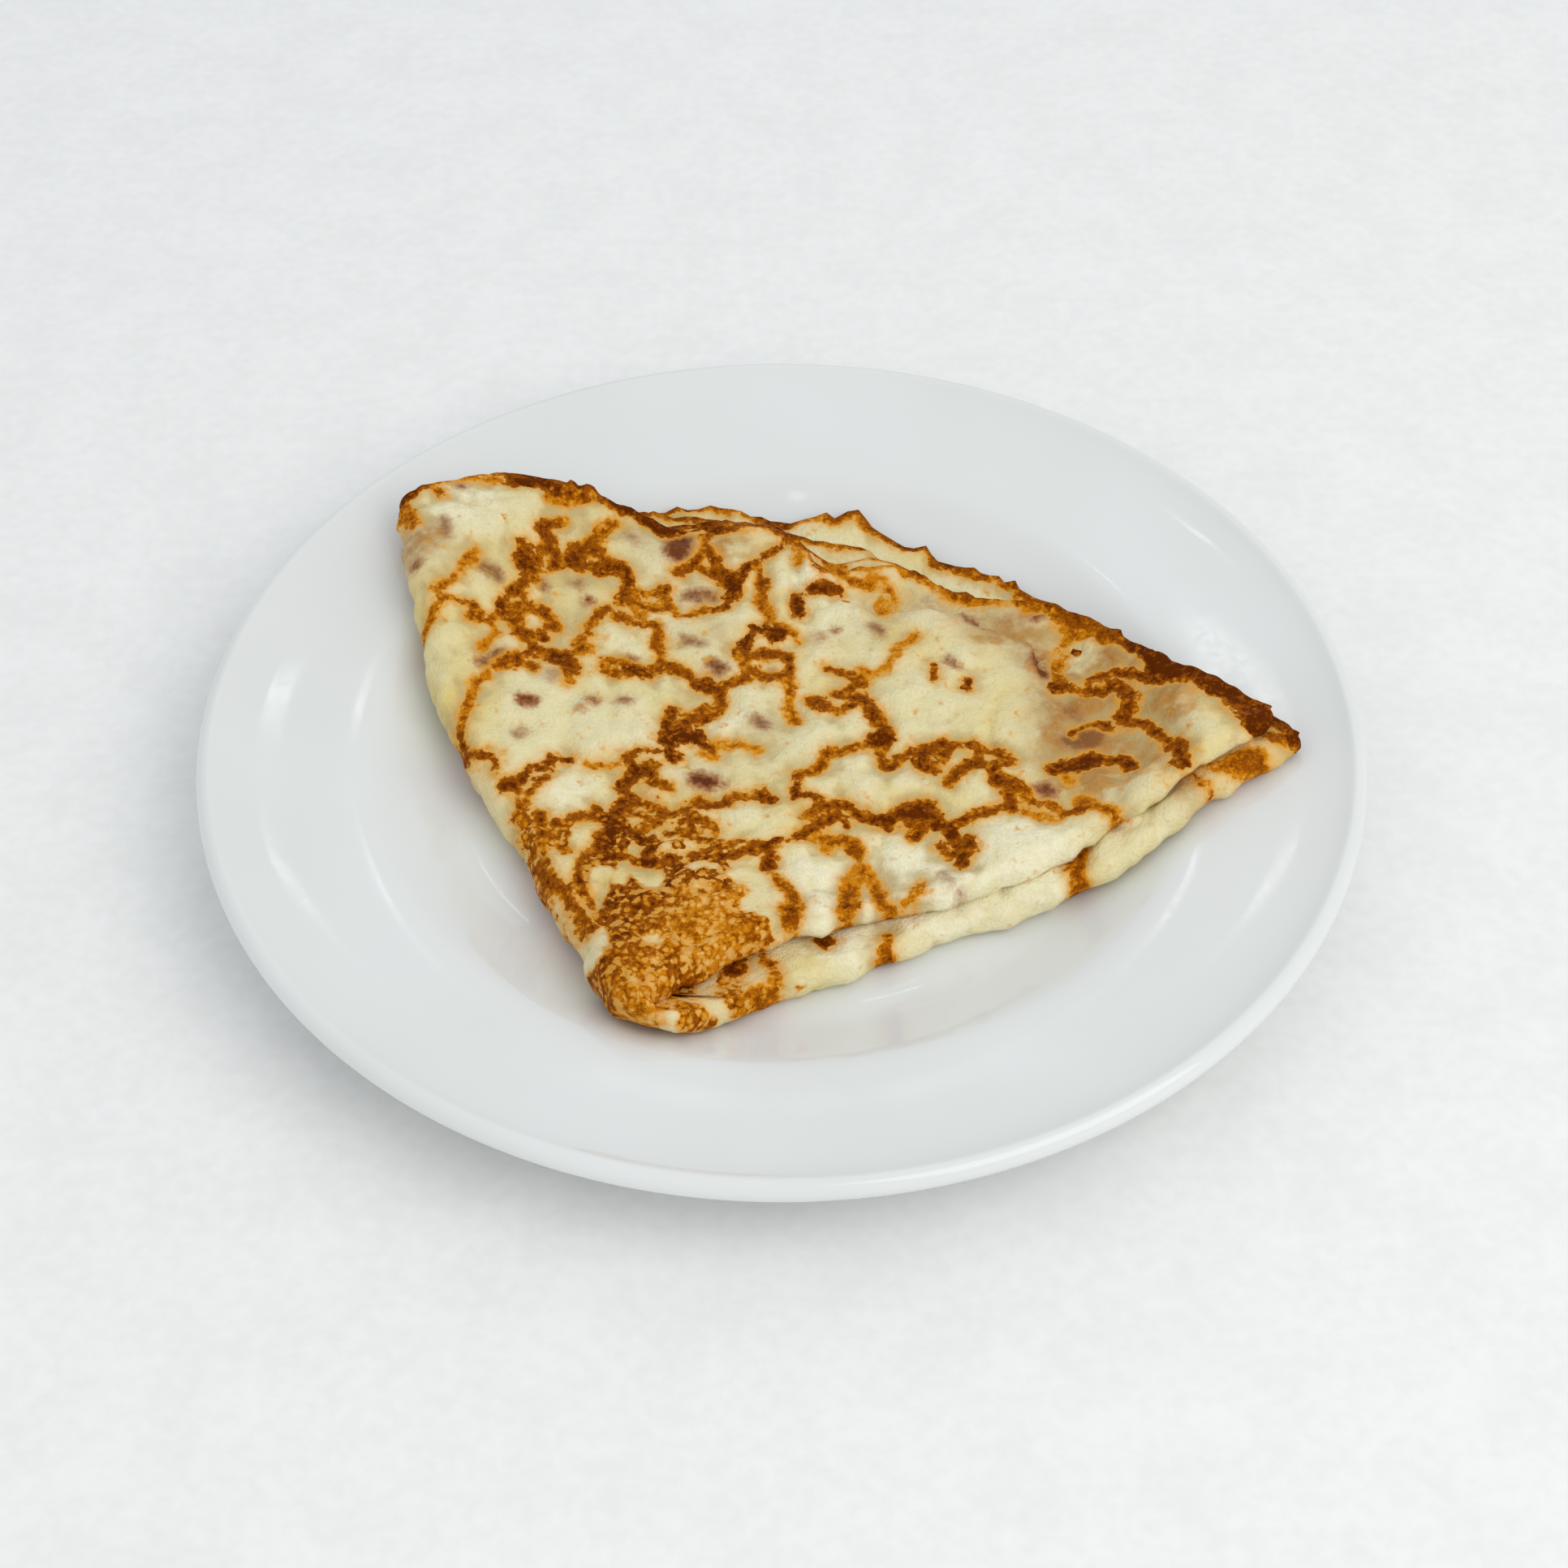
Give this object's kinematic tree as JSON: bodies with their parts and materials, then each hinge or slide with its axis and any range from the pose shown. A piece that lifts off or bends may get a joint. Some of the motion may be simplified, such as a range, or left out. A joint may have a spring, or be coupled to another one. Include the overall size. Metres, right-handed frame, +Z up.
{
  "type": "plate of crepe",
  "caption": "Thin pancake folded twice into a quarter round, lying across the well and rim of a round white dinner plate that holds it.",
  "frame": {"origin": "centre of the plate on the plane it stands on", "axes": "+Z up through the middle of the plate; +X to the right-hand corner of the folded crepe; -Y to the tip of the fold"},
  "size_m": [0.21, 0.21, 0.0256],
  "materials": {
    "porcelain_glaze": "smooth glossy white glaze on porcelain",
    "cooked_batter": "soft pale cooked batter with browned lace, slightly oily"
  },
  "bodies": {
    "root": {"plate": "porcelain_glaze", "crepe": "cooked_batter"}
  },
  "joints": []
}
